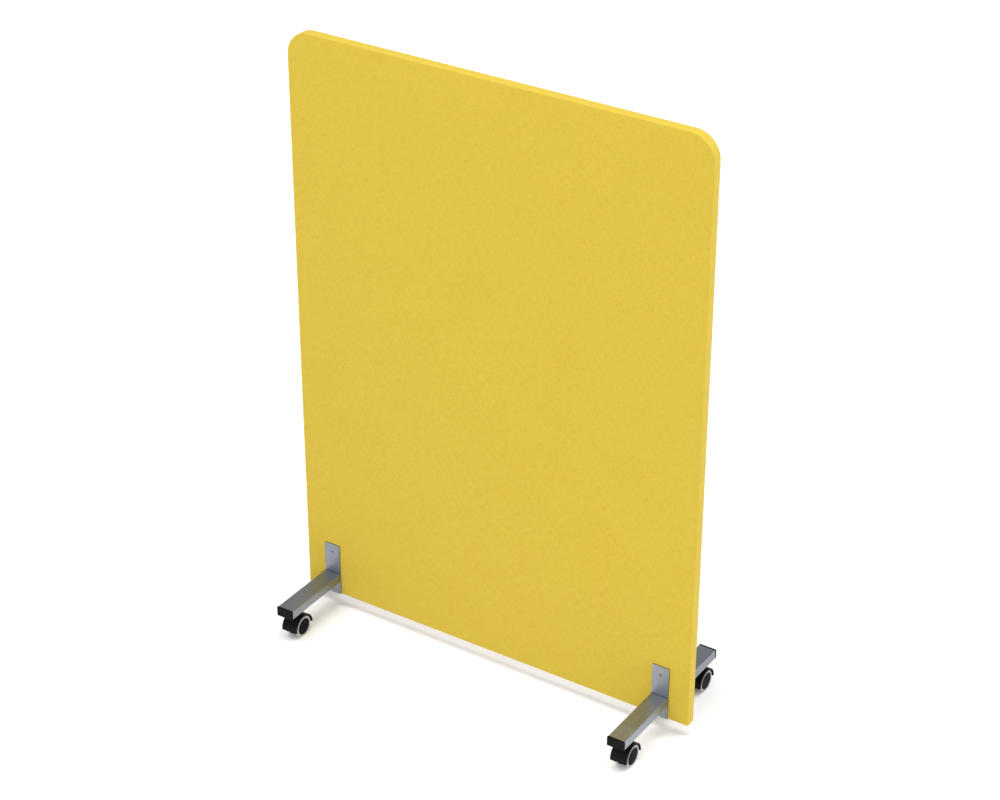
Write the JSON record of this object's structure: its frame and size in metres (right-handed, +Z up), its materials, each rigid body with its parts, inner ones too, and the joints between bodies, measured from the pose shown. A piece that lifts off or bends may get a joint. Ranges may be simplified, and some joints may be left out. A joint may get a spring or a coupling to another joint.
{
  "type": "mobile partition screen",
  "caption": "Free-standing fabric-covered partition panel with rounded top corners, on tube feet that end in hooded twin-wheel castors.",
  "frame": {"origin": "on the floor under the middle of the panel", "axes": "+X along the panel, to the right seen from the front; +Y from the panel's front to its back, the way all the castors trail at rest; +Z up"},
  "size_m": [1, 0.394, 1.395],
  "materials": {
    "cover_fabric": "woven, matt",
    "padding_felt": "needled felt, matt",
    "core_board": "pressed fibre board, matt",
    "frame_timber": "planed, unfinished",
    "hardwood": "sanded, unfinished",
    "foot_steel": "satin",
    "cap_plastic": "fine moulded texture",
    "castor_plastic": "semi-gloss moulded",
    "tyre_rubber": "matt, soft",
    "zinc_steel": "bright zinc plated",
    "screw_steel": "satin"
  },
  "bodies": {
    "root": {"stile_left": "frame_timber", "stile_right": "frame_timber", "rail_bottom": "frame_timber", "rail_middle": "frame_timber", "rail_top": "frame_timber", "corner_block_left": "hardwood", "corner_block_right": "hardwood", "mounting_block_left": "hardwood", "mounting_block_right": "hardwood", "frame_dowels": "hardwood", "core_lower": "core_board", "core_upper": "core_board", "padding_front": "padding_felt", "padding_back": "padding_felt", "fabric_cover": "cover_fabric", "hem_staples": "zinc_steel", "foot_front_left": "foot_steel", "foot_front_right": "foot_steel", "foot_rear_left": "foot_steel", "foot_rear_right": "foot_steel", "end_cap_front_left": "cap_plastic", "end_cap_front_right": "cap_plastic", "end_cap_rear_left": "cap_plastic", "end_cap_rear_right": "cap_plastic", "clamp_screws": "screw_steel", "sleeve_nuts": "screw_steel", "stem_inserts": "zinc_steel", "stem_rings": "zinc_steel", "castor_stem_front_left": "zinc_steel", "castor_stem_front_right": "zinc_steel", "castor_stem_rear_left": "zinc_steel", "castor_stem_rear_right": "zinc_steel"},
    "castor_front_left": {"castor_housing_front_left": "castor_plastic", "wheel_axle_front_left": "zinc_steel"},
    "outer_roller_front_left": {"outer_wheel_front_left": "castor_plastic", "outer_tyre_front_left": "tyre_rubber"},
    "inner_roller_front_left": {"inner_wheel_front_left": "castor_plastic", "inner_tyre_front_left": "tyre_rubber"},
    "castor_front_right": {"castor_housing_front_right": "castor_plastic", "wheel_axle_front_right": "zinc_steel"},
    "outer_roller_front_right": {"outer_wheel_front_right": "castor_plastic", "outer_tyre_front_right": "tyre_rubber"},
    "inner_roller_front_right": {"inner_wheel_front_right": "castor_plastic", "inner_tyre_front_right": "tyre_rubber"},
    "castor_rear_left": {"castor_housing_rear_left": "castor_plastic", "wheel_axle_rear_left": "zinc_steel"},
    "outer_roller_rear_left": {"outer_wheel_rear_left": "castor_plastic", "outer_tyre_rear_left": "tyre_rubber"},
    "inner_roller_rear_left": {"inner_wheel_rear_left": "castor_plastic", "inner_tyre_rear_left": "tyre_rubber"},
    "castor_rear_right": {"castor_housing_rear_right": "castor_plastic", "wheel_axle_rear_right": "zinc_steel"},
    "outer_roller_rear_right": {"outer_wheel_rear_right": "castor_plastic", "outer_tyre_rear_right": "tyre_rubber"},
    "inner_roller_rear_right": {"inner_wheel_rear_right": "castor_plastic", "inner_tyre_rear_right": "tyre_rubber"}
  },
  "joints": [
    {"name": "swivel_front_left", "type": "hinge", "parent": "root", "child": "castor_front_left", "pos_m": [-0.4305, -0.158, 0.05], "axis": [0, 0, 1], "continuous": true},
    {"name": "outer_wheel_spin_front_left", "type": "hinge", "parent": "castor_front_left", "child": "outer_roller_front_left", "pos_m": [-0.443, -0.152, 0.025], "axis": [1, 0, 0], "continuous": true},
    {"name": "inner_wheel_spin_front_left", "type": "hinge", "parent": "castor_front_left", "child": "inner_roller_front_left", "pos_m": [-0.418, -0.152, 0.025], "axis": [1, 0, 0], "continuous": true},
    {"name": "swivel_front_right", "type": "hinge", "parent": "root", "child": "castor_front_right", "pos_m": [0.4305, -0.158, 0.05], "axis": [0, 0, 1], "continuous": true},
    {"name": "outer_wheel_spin_front_right", "type": "hinge", "parent": "castor_front_right", "child": "outer_roller_front_right", "pos_m": [0.443, -0.152, 0.025], "axis": [1, 0, 0], "continuous": true},
    {"name": "inner_wheel_spin_front_right", "type": "hinge", "parent": "castor_front_right", "child": "inner_roller_front_right", "pos_m": [0.418, -0.152, 0.025], "axis": [1, 0, 0], "continuous": true},
    {"name": "swivel_rear_left", "type": "hinge", "parent": "root", "child": "castor_rear_left", "pos_m": [-0.4305, 0.158, 0.05], "axis": [0, 0, 1], "continuous": true},
    {"name": "outer_wheel_spin_rear_left", "type": "hinge", "parent": "castor_rear_left", "child": "outer_roller_rear_left", "pos_m": [-0.443, 0.164, 0.025], "axis": [1, 0, 0], "continuous": true},
    {"name": "inner_wheel_spin_rear_left", "type": "hinge", "parent": "castor_rear_left", "child": "inner_roller_rear_left", "pos_m": [-0.418, 0.164, 0.025], "axis": [1, 0, 0], "continuous": true},
    {"name": "swivel_rear_right", "type": "hinge", "parent": "root", "child": "castor_rear_right", "pos_m": [0.4305, 0.158, 0.05], "axis": [0, 0, 1], "continuous": true},
    {"name": "outer_wheel_spin_rear_right", "type": "hinge", "parent": "castor_rear_right", "child": "outer_roller_rear_right", "pos_m": [0.443, 0.164, 0.025], "axis": [1, 0, 0], "continuous": true},
    {"name": "inner_wheel_spin_rear_right", "type": "hinge", "parent": "castor_rear_right", "child": "inner_roller_rear_right", "pos_m": [0.418, 0.164, 0.025], "axis": [1, 0, 0], "continuous": true}
  ]
}
